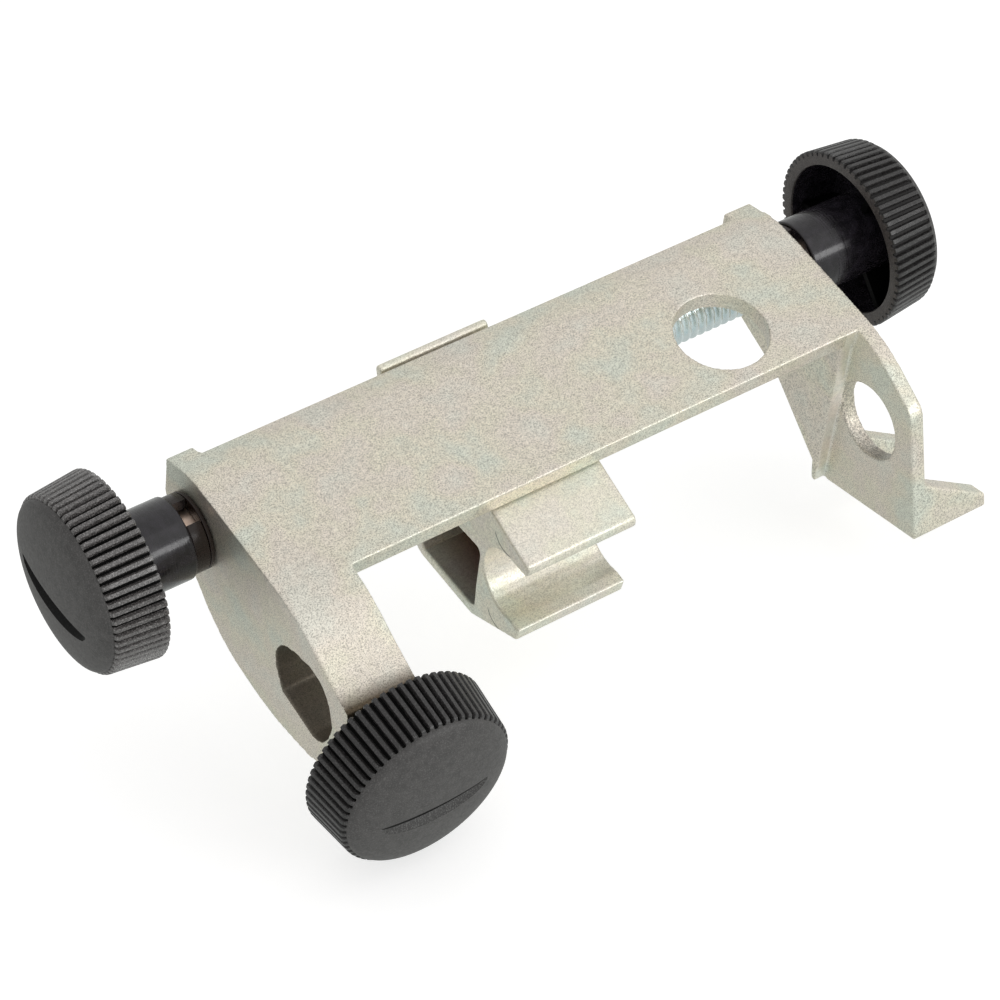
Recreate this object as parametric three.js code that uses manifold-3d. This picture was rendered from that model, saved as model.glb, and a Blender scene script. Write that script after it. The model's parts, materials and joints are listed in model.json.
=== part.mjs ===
// Grindstone truing tool, in millimetres.
//
// +X runs along the support bar and the lead screw, from the clamp end to the foot end.
// -Y is the front, where the fork of the carriage opens. +Y is the side of the grindstone.
// +Z is up. The origin lies on the axis of the 12 mm support bar, midway between the cheeks.

import * as THREE from 'three';
import { mergeVertices } from 'three/addons/utils/BufferGeometryUtils.js';
import Module from 'manifold-3d';

const wasm = await Module();
wasm.setup();

// ---------------------------------------------------------------- driving dimensions

const HALF_BODY = 52.8; // outer face of each cheek
const CHEEK = 2.6; // thin wall of a cheek
const BOSS = 4.9; // thicker wall round the lead screw
const LEFT_EAR = 4.5; // thickness of the rear ear at the clamp end
const SCREW_Y = 25.7; // lead screw axis
const SCREW_Z = 14.5;
const FOOT_Z = -16.9; // underside of the foot
const FRONT_Y = -10.5; // front edge of the right cheek

const PLATE = 3.0; // thickness of the top plate
const PLATE_BACK = { y: 29.7, top: 23.7, under: 20.8 };
const PLATE_FRONT_Y = 1.5;
const SIGHT_HOLE = { x: 31.5, y: 10.7, r: 7.4 };
const PLATE_SLOPE = THREE.MathUtils.degToRad(19.6);

const ARM_WIDTH = 11.8; // clamp arm, along X
const BAR_HOLE_R = 6.45; // foot end passage for the 12 mm bar
const LOBE_R = 11.8; // clamp end lobe round the bar
const FIN = { depth: 3.4, out: 11.7, wall: 9.0, tip: 2.2, frontY: -10.5, rearY: 7.9 };

const CLAMP_X = -46.9; // clamp screw axis, 16.2 degrees below level, through the bar axis
const CLAMP_ANGLE = THREE.MathUtils.degToRad(196.2);
const CLAMP_RIM = 15.4; // bar axis to the open face of the clamp knob
const ARM_END = 12.1; // bar axis to the end face of the arm
const PAD_FACE = 8.3; // bar axis to the pad at rest

const THREAD_R = 4.65; // lead screw
const THREAD_ROOT = 3.8;
const THREAD_PITCH = 1.5;
const THREAD_HALF = 47.2;
const JOURNAL_R = 3.6;
const JOURNAL_END = 71.5;

const KNOB = { rim: 14.8, cap: 14.0, inner: 12.4, width: 8.4, dome: 2.9, wall: 2.8 };
const KNURL = { teeth: 64, depth: 0.42 };
const KNOB_FACE = 65.7; // open face of a lead screw knob, from the middle
const HUB_R = 6.5;
const HUB_START = 56.2;
const HUB_BORE = 3.9;
const COLLAR = { r: 6.1, flange: 0.6, mouth: 2.8, lean: THREE.MathUtils.degToRad(25) };
const INSERT = { r: 4.9, bore: 3.9, length: 6.0, start: 64.0, clear: 0.3 };
const PIN_R = 1.0;
const PIN_X = 60.0;

const CARRIAGE_X = [-16.3, 3.1];
const POCKET_END = -4.7; // blind end of the side pocket
const NUT = { r: 5.7, bore: 4.95, from: -12.6, to: -0.6, pocket: 6.0 };
const SHANK = { x: -0.9, z: -1.2, r: 2.5, start: 18.5, length: 15.5, cone: 2.6, tip: 1.1 };

const GRUB = { r: 2.1, y: 23.0, length: 4.0, socket: 1.25, socketDepth: 2.2 };
const STUD = { r: 3.9, root: 3.2, pitch: 1.25, turns: 9, end: 22.6, hub: 0.9 };
const PAD = { r: 3.6, depth: 1.9 };
const STUD_INSERT = { r: 5.2, length: 4.4, inset: 1.2 };

const GAP = 0.3; // clearance left between neighbouring pieces

// ---------------------------------------------------------------- materials

function material(color, roughness, metalness) {
  return new THREE.MeshStandardMaterial({ color, roughness, metalness });
}

const ZINC = material(0xc4c0b4, 0.5, 0.85);
const STEEL = material(0xb9c6c8, 0.3, 0.95);
const BRASS = material(0xb08d4a, 0.35, 0.9);
const BLACK = material(0x2b2a29, 0.55, 0.0);
const GLOSS = material(0x1d1c1c, 0.25, 0.0);
const DIAMOND = material(0x8d8a78, 0.2, 0.0);

// ---------------------------------------------------------------- solids

function solid(raw) {
  const bare = raw.index ? raw.toNonIndexed() : raw.clone();
  bare.deleteAttribute('normal');
  bare.deleteAttribute('uv');
  const merged = mergeVertices(bare, 1e-4);
  return new wasm.Manifold(new wasm.Mesh({
    numProp: 3,
    vertProperties: new Float32Array(merged.attributes.position.array),
    triVerts: new Uint32Array(merged.index.array),
  }));
}

function geometry(body) {
  const mesh = body.getMesh();
  const out = new THREE.BufferGeometry();
  out.setAttribute('position', new THREE.BufferAttribute(new Float32Array(mesh.vertProperties), 3));
  out.setIndex(new THREE.BufferAttribute(new Uint32Array(mesh.triVerts), 1));
  out.computeVertexNormals();
  return out;
}

function moved(body, matrix) {
  return body.transform(matrix.elements);
}

// a profile drawn in (Y, Z), pushed along X from x0 to x1
function alongX(shape, x0, x1, curveSegments = 10) {
  const raw = new THREE.ExtrudeGeometry(shape, { depth: x1 - x0, bevelEnabled: false, curveSegments });
  const swap = new THREE.Matrix4().set(0, 0, 1, x0, 1, 0, 0, 0, 0, 1, 0, 0, 0, 0, 0, 1);
  raw.applyMatrix4(swap);
  return solid(raw);
}

// a turned profile of [radius, height] points, its axis along +X, starting at (x, y, z)
function turnedX(points, segments, y, z) {
  const raw = new THREE.LatheGeometry(points.map(([r, h]) => new THREE.Vector2(r, h)), segments);
  raw.applyMatrix4(new THREE.Matrix4().set(0, 1, 0, 0, 0, 0, 1, y, 1, 0, 0, z, 0, 0, 0, 1));
  return solid(raw);
}

function rodX(r, x0, x1, segments, y, z) {
  return turnedX([[0, x0], [r, x0], [r, x1], [0, x1]], segments, y, z);
}

function ringX(inner, outer, x0, x1, segments, y, z) {
  return turnedX([[inner, x0], [outer, x0], [outer, x1], [inner, x1], [inner, x0]], segments, y, z);
}

function polygon(points) {
  return new THREE.Shape(points.map(([y, z]) => new THREE.Vector2(y, z)));
}

function union(list) {
  return list.reduce((all, one) => all.add(one));
}

// a rod along any direction
function rod(r, from, to, segments) {
  const a = new THREE.Vector3(...from);
  const b = new THREE.Vector3(...to);
  const raw = new THREE.CylinderGeometry(r, r, a.distanceTo(b), segments);
  const along = b.clone().sub(a).normalize();
  const turn = new THREE.Quaternion().setFromUnitVectors(new THREE.Vector3(0, 1, 0), along);
  raw.applyQuaternion(turn);
  raw.translate((a.x + b.x) / 2, (a.y + b.y) / 2, (a.z + b.z) / 2);
  return solid(raw);
}

function box(x0, x1, y0, y1, z0, z1) {
  const raw = new THREE.BoxGeometry(x1 - x0, y1 - y0, z1 - z0);
  raw.translate((x0 + x1) / 2, (y0 + y1) / 2, (z0 + z1) / 2);
  return solid(raw);
}

// ---------------------------------------------------------------- group

const group = new THREE.Group();

function place(name, body, finish, parent = group) {
  const mesh = new THREE.Mesh(geometry(body), finish);
  mesh.name = name;
  parent.add(mesh);
  return mesh;
}

// ---------------------------------------------------------------- body casting

// the crown of the casting, from the rear ear forward and down, shared by the plate and both cheeks
const EAR = new THREE.Vector2(31.6, 23.8);
const CROWN_REAR = new THREE.SplineCurve([
  EAR,
  new THREE.Vector2(25.7, 24.0),
  new THREE.Vector2(21.9, 23.2),
  new THREE.Vector2(14.5, 20.7),
  new THREE.Vector2(7.9, 18.3),
  new THREE.Vector2(PLATE_FRONT_Y, 15.9),
]).getPoints(15);
const CROWN_FRONT = new THREE.SplineCurve([
  new THREE.Vector2(PLATE_FRONT_Y, 15.9),
  new THREE.Vector2(-2.0, 14.0),
  new THREE.Vector2(-5.0, 11.6),
  new THREE.Vector2(-9.2, 7.6),
]).getPoints(6);

// carries the outline on through [y, z] points as one smooth curve
function smooth(shape, points) {
  shape.splineThru(points.map(([y, z]) => new THREE.Vector2(y, z)));
}

function follow(shape, points) {
  points.forEach((point) => shape.lineTo(point.x, point.y));
}

function clampAxis(along, across) {
  const c = Math.cos(CLAMP_ANGLE);
  const s = Math.sin(CLAMP_ANGLE);
  return [along * c + across * s, along * s - across * c];
}

function leftCheekShape() {
  const shape = new THREE.Shape();
  shape.moveTo(33.7, 17.3);
  follow(shape, CROWN_REAR);
  follow(shape, CROWN_FRONT.slice(1));
  shape.lineTo(...clampAxis(ARM_END, 7.4));
  shape.lineTo(...clampAxis(ARM_END, 1.6));
  shape.absarc(0, 0, LOBE_R, CLAMP_ANGLE - 0.1, THREE.MathUtils.degToRad(278), false);
  smooth(shape, [
    [9.1, -10.4], [15.6, -8.0], [21.2, -4.8], [25.4, -0.4], [28.2, 4.2], [32.6, 9.8], [33.7, 17.3],
  ]);
  return shape;
}

// clamp arm: the front half of the left cheek, kept to the space before the carriage's guide
function armShape() {
  const shape = new THREE.Shape();
  shape.moveTo(CROWN_REAR.at(-2).x, 12.2);
  follow(shape, CROWN_REAR.slice(-2));
  follow(shape, CROWN_FRONT.slice(1));
  shape.lineTo(...clampAxis(ARM_END, 7.4));
  shape.lineTo(...clampAxis(ARM_END, 1.6));
  shape.absarc(0, 0, LOBE_R, CLAMP_ANGLE - 0.1, THREE.MathUtils.degToRad(404), false);
  return shape;
}

// passage at the clamp end: a rounded vee whose corner lies low at the rear
function veeShape() {
  const shape = new THREE.Shape();
  shape.moveTo(5.4, -3.1);
  shape.lineTo(6.1, 0.9);
  smooth(shape, [[5.5, 3.9], [3.2, 6.3], [0.2, 7.0]]);
  shape.lineTo(-4.0, 6.9);
  smooth(shape, [[-6.9, 5.3], [-8.3, 2.0], [-8.2, -1.7]]);
  smooth(shape, [[-6.4, -4.8], [-4.2, -6.6], [-1.9, -6.8]]);
  shape.closePath();
  return shape;
}

function rightCheekShape() {
  const shape = new THREE.Shape();
  shape.moveTo(CROWN_REAR.at(-2).x, 12.2);
  follow(shape, CROWN_REAR.slice(-2));
  follow(shape, CROWN_FRONT.slice(1));
  shape.quadraticCurveTo(FRONT_Y, 6.1, FRONT_Y, 4.6);
  shape.lineTo(FRONT_Y, FOOT_Z);
  shape.lineTo(11.5, FOOT_Z);
  return shape;
}

// the thicker rear wall of the right cheek, bounded in front by the rib line
function rearWallShape() {
  const shape = new THREE.Shape();
  shape.moveTo(33.7, 17.3);
  follow(shape, CROWN_REAR.slice(0, -1));
  shape.lineTo(2.0, 16.08);
  shape.lineTo(11.4, -15.8);
  shape.lineTo(12.0, -15.8);
  shape.lineTo(11.7, -12.4);
  shape.lineTo(20.0, -0.4);
  smooth(shape, [[29.2, 6.6], [32.8, 10.4], [33.7, 17.3]]);
  return shape;
}

// rear wall of the clamp end, round the lead screw
function leftBossShape() {
  const shape = new THREE.Shape();
  shape.absarc(SCREW_Y, SCREW_Z, 7.6, 0, Math.PI * 2, false);
  return shape;
}

// rear corner of the left cheek, thickened as far as the lead screw
function leftEarShape() {
  const shape = new THREE.Shape();
  shape.moveTo(33.7, 17.3);
  follow(shape, CROWN_REAR.slice(0, 5));
  shape.lineTo(SCREW_Y, SCREW_Z);
  return shape;
}

function plateShape() {
  const shape = new THREE.Shape();
  const drop = PLATE / Math.cos(PLATE_SLOPE);
  shape.moveTo(PLATE_BACK.y, PLATE_BACK.under);
  shape.lineTo(PLATE_BACK.y, PLATE_BACK.top);
  follow(shape, CROWN_REAR.slice(3));
  shape.lineTo(PLATE_FRONT_Y + 1.0, 15.9 - PLATE * 0.94);
  shape.lineTo(21.9, 23.2 - drop);
  shape.quadraticCurveTo(24.5, 24.0 - PLATE, PLATE_BACK.y, PLATE_BACK.under);
  return shape;
}

function finShape() {
  const x = HALF_BODY - 0.8;
  return new THREE.Shape([
    new THREE.Vector2(x, FOOT_Z),
    new THREE.Vector2(HALF_BODY + FIN.out, FOOT_Z),
    new THREE.Vector2(HALF_BODY + FIN.out, FOOT_Z + FIN.tip),
    new THREE.Vector2(HALF_BODY, FOOT_Z + FIN.wall),
    new THREE.Vector2(x, FOOT_Z + FIN.wall),
  ]);
}

// a profile drawn in (X, Z), pushed along +Y
function fin(y0) {
  const raw = new THREE.ExtrudeGeometry(finShape(), { depth: FIN.depth, bevelEnabled: false });
  raw.applyMatrix4(new THREE.Matrix4().set(1, 0, 0, 0, 0, 0, -1, y0 + FIN.depth, 0, 1, 0, 0, 0, 0, 0, 1));
  return solid(raw);
}

function buildBody() {
  const plates = union([
    alongX(plateShape(), -HALF_BODY + 0.4, HALF_BODY - 0.4),
    alongX(leftCheekShape(), -HALF_BODY, -HALF_BODY + CHEEK, 12),
    alongX(armShape(), -HALF_BODY + 0.5, -HALF_BODY + ARM_WIDTH, 14),
    alongX(leftBossShape(), -HALF_BODY + 0.5, -HALF_BODY + BOSS, 10),
    alongX(leftEarShape(), -HALF_BODY + 0.5, -HALF_BODY + LEFT_EAR),
    alongX(rightCheekShape(), HALF_BODY - CHEEK, HALF_BODY, 12),
    alongX(rearWallShape(), HALF_BODY - BOSS, HALF_BODY),
    fin(FIN.frontY),
    fin(FIN.rearY),
  ]);
  const sight = rod(
    SIGHT_HOLE.r,
    [SIGHT_HOLE.x, SIGHT_HOLE.y + 6 * Math.sin(PLATE_SLOPE), 19.4 - 6 * Math.cos(PLATE_SLOPE)],
    [SIGHT_HOLE.x, SIGHT_HOLE.y - 6 * Math.sin(PLATE_SLOPE), 19.4 + 6 * Math.cos(PLATE_SLOPE)],
    40,
  );
  const tapped = rod(
    4.2,
    [CLAMP_X, ...clampAxis(4.0, 0)],
    [CLAMP_X, ...clampAxis(16.0, 0)],
    24,
  );
  return plates
    .subtract(sight)
    .subtract(rodX(BAR_HOLE_R, HALF_BODY - 8, HALF_BODY + 4, 40, 0, 0))
    .subtract(alongX(veeShape(), -HALF_BODY - 4, -HALF_BODY + ARM_WIDTH + 2, 6))
    .subtract(tapped)
    .subtract(rodX(5.1, -HALF_BODY - 3, -HALF_BODY + 8, 32, SCREW_Y, SCREW_Z))
    .subtract(rodX(5.1, HALF_BODY - 8, HALF_BODY + 3, 32, SCREW_Y, SCREW_Z));
}

place('body_casting', buildBody(), ZINC);

// ---------------------------------------------------------------- bearings of the lead screw

function mirrorX(body) {
  return body.scale([-1, 1, 1]);
}

function bushing() {
  const points = [
    [3.9, HALF_BODY - BOSS],
    [4.8, HALF_BODY - BOSS],
    [4.8, HALF_BODY + GAP],
    [COLLAR.r, HALF_BODY + GAP],
    [COLLAR.r, HALF_BODY + GAP + COLLAR.flange],
    [3.9, HALF_BODY + GAP + COLLAR.flange],
    [3.9, HALF_BODY - BOSS],
  ];
  return turnedX(points, 24, SCREW_Y, SCREW_Z);
}

// a snap-on clip that keeps the screw from moving endways, with its mouth up and a little forward
function retainingClip() {
  const start = HALF_BODY + COLLAR.flange + 2 * GAP;
  const half = COLLAR.mouth / 2;
  const mouth = moved(
    box(start - 1, HUB_START + 1, -half, half, 0, COLLAR.r + 1),
    new THREE.Matrix4().makeRotationX(COLLAR.lean),
  ).translate([0, SCREW_Y, SCREW_Z]);
  return ringX(3.9, COLLAR.r, start, HUB_START - GAP, 32, SCREW_Y, SCREW_Z).subtract(mouth);
}

place('bushing_left', mirrorX(bushing()), GLOSS);
place('bushing_right', bushing(), GLOSS);
place('retaining_clip_left', mirrorX(retainingClip()), GLOSS);
place('retaining_clip_right', retainingClip(), GLOSS);

// ---------------------------------------------------------------- knobs

// A star prism for the rope-like rim, its axis along +X.
// The crest radius falls from the open face to the cap edge.
function knurl(x0, x1, r0, r1) {
  const star = [];
  const steps = KNURL.teeth * 2;
  for (let i = 0; i < steps; i += 1) {
    const angle = (i / steps) * Math.PI * 2;
    const r = i % 2 === 0 ? 1 : 1 - KNURL.depth / r0;
    star.push(new THREE.Vector2(r * Math.cos(angle), r * Math.sin(angle)));
  }
  const raw = new THREE.ExtrudeGeometry(new THREE.Shape(star), { depth: x1 - x0, bevelEnabled: false });
  const at = raw.attributes.position;
  for (let i = 0; i < at.count; i += 1) {
    const t = at.getZ(i) / (x1 - x0);
    const r = r0 + (r1 - r0) * t;
    at.setXYZ(i, at.getX(i) * r, at.getY(i) * r, at.getZ(i));
  }
  raw.applyMatrix4(new THREE.Matrix4().set(0, 0, 1, x0, 1, 0, 0, 0, 0, 1, 0, 0, 0, 0, 0, 1));
  return solid(raw);
}

// Knob with its axis on X, open face at x = 0, cap towards +X, hub towards -X.
function knobBody(hubLength, hubRadius) {
  const dome = [];
  const domeSteps = 6;
  for (let i = 0; i <= domeSteps; i += 1) {
    const t = (i / domeSteps) * (Math.PI / 2);
    dome.push([(KNOB.cap - 0.5) * Math.cos(t), KNOB.width + KNOB.dome * Math.sin(t)]);
  }
  dome[domeSteps][0] = 0;
  const cap = turnedX([[0, KNOB.width - 1.5], [KNOB.cap - 0.5, KNOB.width - 1.5], ...dome], 48, 0, 0);
  const floor = KNOB.width + KNOB.dome - KNOB.wall;
  const cavity = turnedX(
    [[0, -1], [KNOB.inner, -1], [KNOB.inner - 0.5, floor - 1.4], [KNOB.inner - 2.2, floor], [0, floor]],
    40, 0, 0,
  );
  const above = KNOB.width + KNOB.dome + 3.6;
  const recess = rod(4.5, [above, -13, -0.3], [above, 13, -0.3], 40);
  const hub = rodX(hubRadius, -hubLength, floor + 1, 32, 0, 0);
  const ribs = [];
  for (let i = 0; i < 3; i += 1) {
    const turn = new THREE.Matrix4().makeRotationX(Math.PI / 6 + (i * Math.PI * 2) / 3);
    ribs.push(moved(box(2.2, floor + 1, -0.6, 0.6, 5.0, KNOB.inner + 0.6), turn));
  }
  return union([knurl(0, KNOB.width, KNOB.rim, KNOB.cap), cap])
    .subtract(cavity)
    .add(hub)
    .add(union(ribs))
    .subtract(recess);
}

function spindleKnob() {
  const reach = KNOB_FACE - HUB_START;
  const seat = KNOB_FACE - INSERT.start;
  const knob = knobBody(reach, HUB_R)
    .subtract(rodX(HUB_BORE + GAP, -reach - 1, 8.2, 28, 0, 0))
    .subtract(rodX(INSERT.r + INSERT.clear, -seat - GAP, -seat + INSERT.length + GAP, 28, 0, 0));
  const across = PIN_X - KNOB_FACE;
  return knob.subtract(rod(PIN_R + GAP, [across, 0, -HUB_R - 1], [across, 0, HUB_R + 1], 14));
}

function atRight(body) {
  return body.translate([KNOB_FACE, SCREW_Y, SCREW_Z]);
}

const knobSolid = atRight(spindleKnob());
place('knob_left', mirrorX(knobSolid), BLACK);
place('knob_right', knobSolid, BLACK);

const insertFar = INSERT.start + INSERT.length;
const insertSolid = ringX(INSERT.bore, INSERT.r, INSERT.start, insertFar, 24, SCREW_Y, SCREW_Z);
place('insert_left', mirrorX(insertSolid), BRASS);
place('insert_right', insertSolid, BRASS);

const pinSolid = rod(PIN_R, [PIN_X, SCREW_Y, SCREW_Z - 6.2], [PIN_X, SCREW_Y, SCREW_Z + 6.2], 12);
place('pin_left', mirrorX(pinSolid), STEEL);
place('pin_right', pinSolid, STEEL);

// ---------------------------------------------------------------- lead screw

// Threaded rod: a vee ribbon wound between a crest line and a root line, closed at both ends.
function threadedRod(crest, root, pitch, x0, turns, sides) {
  const points = [];
  const faces = [];
  const count = turns * sides;
  const ring = (i, r, lift) => {
    const angle = (i / sides) * Math.PI * 2;
    points.push(x0 + (i / sides + lift) * pitch, r * Math.cos(angle), r * Math.sin(angle));
  };
  for (let i = 0; i <= count; i += 1) {
    ring(i, root, 0);
    ring(i, crest, 0.5);
  }
  for (let i = 0; i < count; i += 1) {
    const a = 2 * i;
    const upper = 2 * (i + sides);
    faces.push(a, a + 2, a + 1, a + 2, a + 3, a + 1);
    if (i + sides < count) {
      faces.push(a + 1, a + 3, upper, a + 3, upper + 2, upper);
    }
  }
  // end caps: fans to a point on the axis
  const first = points.length / 3;
  points.push(x0 - pitch * 0.2, 0, 0);
  for (let i = 0; i < sides; i += 1) {
    faces.push(first, 2 * i + 2, 2 * i);
  }
  faces.push(first, 1, 2 * sides);
  faces.push(first, 0, 1);
  const last = first + 1;
  const start = count - sides;
  points.push(x0 + (turns + 0.7) * pitch, 0, 0);
  for (let i = start; i < count; i += 1) {
    faces.push(last, 2 * i + 1, 2 * i + 3);
  }
  faces.push(last, 2 * count + 1, 2 * count);
  faces.push(last, 2 * count, 2 * start + 1);
  const out = new THREE.BufferGeometry();
  out.setAttribute('position', new THREE.Float32BufferAttribute(points, 3));
  out.setIndex(faces);
  const uv = new Float32Array((points.length / 3) * 2);
  out.setAttribute('uv', new THREE.BufferAttribute(uv, 2));
  out.computeVertexNormals();
  return solid(out);
}

function leadScrew() {
  const turns = Math.floor((2 * THREAD_HALF) / THREAD_PITCH) - 1;
  const thread = threadedRod(THREAD_R, THREAD_ROOT, THREAD_PITCH, -THREAD_HALF + 0.8, turns, 12)
    .translate([0, SCREW_Y, SCREW_Z]);
  const cross = (x) => rod(PIN_R + GAP, [x, SCREW_Y, SCREW_Z - 8], [x, SCREW_Y, SCREW_Z + 8], 14);
  return thread
    .add(rodX(JOURNAL_R, -JOURNAL_END, JOURNAL_END, 28, SCREW_Y, SCREW_Z))
    .subtract(cross(PIN_X))
    .subtract(cross(-PIN_X));
}

place('lead_screw', leadScrew(), STEEL);

// ---------------------------------------------------------------- carriage

function carriageShape() {
  const shape = new THREE.Shape();
  shape.moveTo(0.2, -9.3);
  shape.lineTo(-0.8, -7.1);
  shape.lineTo(1.1, -6.3);
  shape.absarc(1.1, -0.05, 6.25, -Math.PI / 2, THREE.MathUtils.degToRad(100), false);
  shape.lineTo(-4.4, 4.9);
  shape.quadraticCurveTo(-5.6, 5.6, -5.2, 7.0);
  shape.lineTo(3.4, 12.8);
  shape.quadraticCurveTo(4.2, 13.1, 6.4, 13.9);
  shape.lineTo(20.0, 18.7);
  shape.quadraticCurveTo(23.0, 19.9, 25.4, 20.2);
  shape.lineTo(30.9, 20.2);
  shape.lineTo(30.9, 22.6);
  shape.quadraticCurveTo(30.9, 23.6, 31.7, 23.6);
  shape.quadraticCurveTo(32.5, 23.6, 32.5, 22.6);
  shape.lineTo(32.5, 13.0);
  shape.quadraticCurveTo(31.6, 4.0, 28.9, -1.6);
  shape.lineTo(26.9, -6.0);
  shape.quadraticCurveTo(26.2, -7.4, 24.6, -7.8);
  shape.lineTo(13.2, -11.2);
  shape.quadraticCurveTo(12.3, -11.45, 11.4, -11.2);
  return shape;
}

function pocketShape() {
  return polygon([
    [8.0, 2.1], [8.3, 3.2], [13.7, 4.4], [17.0, 6.6], [18.6, 5.4], [22.0, 4.3], [27.6, 4.3],
    [27.0, 0.4], [24.7, -6.1], [12.4, -9.6], [11.4, -9.2], [10.2, -4.7],
  ]);
}

function carriage() {
  const out = SHANK.start + SHANK.length + 4;
  return alongX(carriageShape(), ...CARRIAGE_X, 7)
    .subtract(alongX(pocketShape(), CARRIAGE_X[0] - 1, POCKET_END))
    .subtract(rodX(NUT.bore + 0.1, CARRIAGE_X[0] - 1, CARRIAGE_X[1] + 1, 28, SCREW_Y, SCREW_Z))
    .subtract(rodX(NUT.pocket, NUT.from - GAP, NUT.to + GAP, 28, SCREW_Y, SCREW_Z))
    .subtract(rod(SHANK.r + GAP, [SHANK.x, SHANK.start - GAP, SHANK.z], [SHANK.x, out, SHANK.z], 20))
    .subtract(rod(GRUB.r + GAP, [SHANK.x, GRUB.y, -12], [SHANK.x, GRUB.y, SHANK.z], 18));
}

place('carriage_casting', carriage(), ZINC);
place('feed_nut', ringX(NUT.bore, NUT.r, NUT.from, NUT.to, 28, SCREW_Y, SCREW_Z), BRASS);

// ---------------------------------------------------------------- diamond dresser

// turned piece with its axis on +Y at the dresser's height
function dresser(points, segments) {
  const raw = new THREE.LatheGeometry(points.map(([r, h]) => new THREE.Vector2(r, h)), segments);
  raw.translate(SHANK.x, 0, SHANK.z);
  return solid(raw);
}

const shankEnd = SHANK.start + SHANK.length;
place('diamond_shank', dresser([
  [0, SHANK.start],
  [SHANK.r - 0.4, SHANK.start],
  [SHANK.r, SHANK.start + 0.4],
  [SHANK.r, shankEnd],
  [SHANK.tip, shankEnd + SHANK.cone],
  [0, shankEnd + SHANK.cone],
], 24), STEEL);
place('diamond_tip', dresser([
  [0, shankEnd + SHANK.cone + 0.1],
  [0.8, shankEnd + SHANK.cone + 0.1],
  [0.9, shankEnd + SHANK.cone + 0.5],
  [0, shankEnd + SHANK.cone + 1.5],
], 6), DIAMOND);

function grubScrew() {
  const top = SHANK.z - SHANK.r - GAP;
  const foot = top - GRUB.length;
  const socket = rod(GRUB.socket, [SHANK.x, GRUB.y, foot - 1], [SHANK.x, GRUB.y, foot + GRUB.socketDepth], 6);
  return rod(GRUB.r, [SHANK.x, GRUB.y, foot], [SHANK.x, GRUB.y, top], 20).subtract(socket);
}

place('grub_screw', grubScrew(), STEEL);

// ---------------------------------------------------------------- clamp

// Everything on the clamp axis is drawn along +X from the bar axis and turned into place.
const clamp = new THREE.Group();
clamp.position.set(CLAMP_X, 0, 0);
clamp.quaternion.setFromRotationMatrix(new THREE.Matrix4().makeBasis(
  new THREE.Vector3(0, Math.cos(CLAMP_ANGLE), Math.sin(CLAMP_ANGLE)),
  new THREE.Vector3(1, 0, 0),
  new THREE.Vector3(0, Math.sin(CLAMP_ANGLE), -Math.cos(CLAMP_ANGLE)),
));
group.add(clamp);

const padBack = PAD_FACE + PAD.depth;
place('clamp_pad', turnedX([
  [0, PAD_FACE],
  [PAD.r - 0.4, PAD_FACE],
  [PAD.r, PAD_FACE + 0.4],
  [PAD.r, padBack],
  [0, padBack],
], 24, 0, 0), BRASS, clamp);

const studStart = padBack + GAP;
place('clamp_screw', threadedRod(STUD.r, STUD.root, STUD.pitch, studStart + 0.3, STUD.turns, 12)
  .add(rodX(STUD.root - 0.2, studStart, STUD.end, 16, 0, 0)), STEEL, clamp);

const insertBack = STUD_INSERT.inset + STUD_INSERT.length + 2 * GAP;
const clampKnob = knobBody(STUD.hub, HUB_R)
  .subtract(rodX(STUD.r + GAP, -STUD.hub - 1, STUD.end - CLAMP_RIM + GAP, 24, 0, 0))
  .subtract(rodX(STUD_INSERT.r + GAP, STUD_INSERT.inset, insertBack, 24, 0, 0))
  .translate([CLAMP_RIM, 0, 0]);
place('clamp_knob', clampKnob, BLACK, clamp);
const insertStart = CLAMP_RIM + STUD_INSERT.inset + GAP;
const insertEnd = insertStart + STUD_INSERT.length;
place('clamp_insert', ringX(STUD.r + 0.2, STUD_INSERT.r, insertStart, insertEnd, 24, 0, 0), BRASS, clamp);

export default group;
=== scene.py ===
"""Looks of a grindstone truing tool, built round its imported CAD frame.

The row frame is in metres: +X along the support bar and the lead screw, -Y the front, +Z up, and the
origin on the axis of the 12 mm support bar, midway between the two cheeks of the casting.
Lengths in this file are in millimetres, and MM turns them into metres when a mesh is made.
"""

import json
import math

import bmesh
import bpy
import numpy as np
from mathutils import Matrix, Vector


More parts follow.
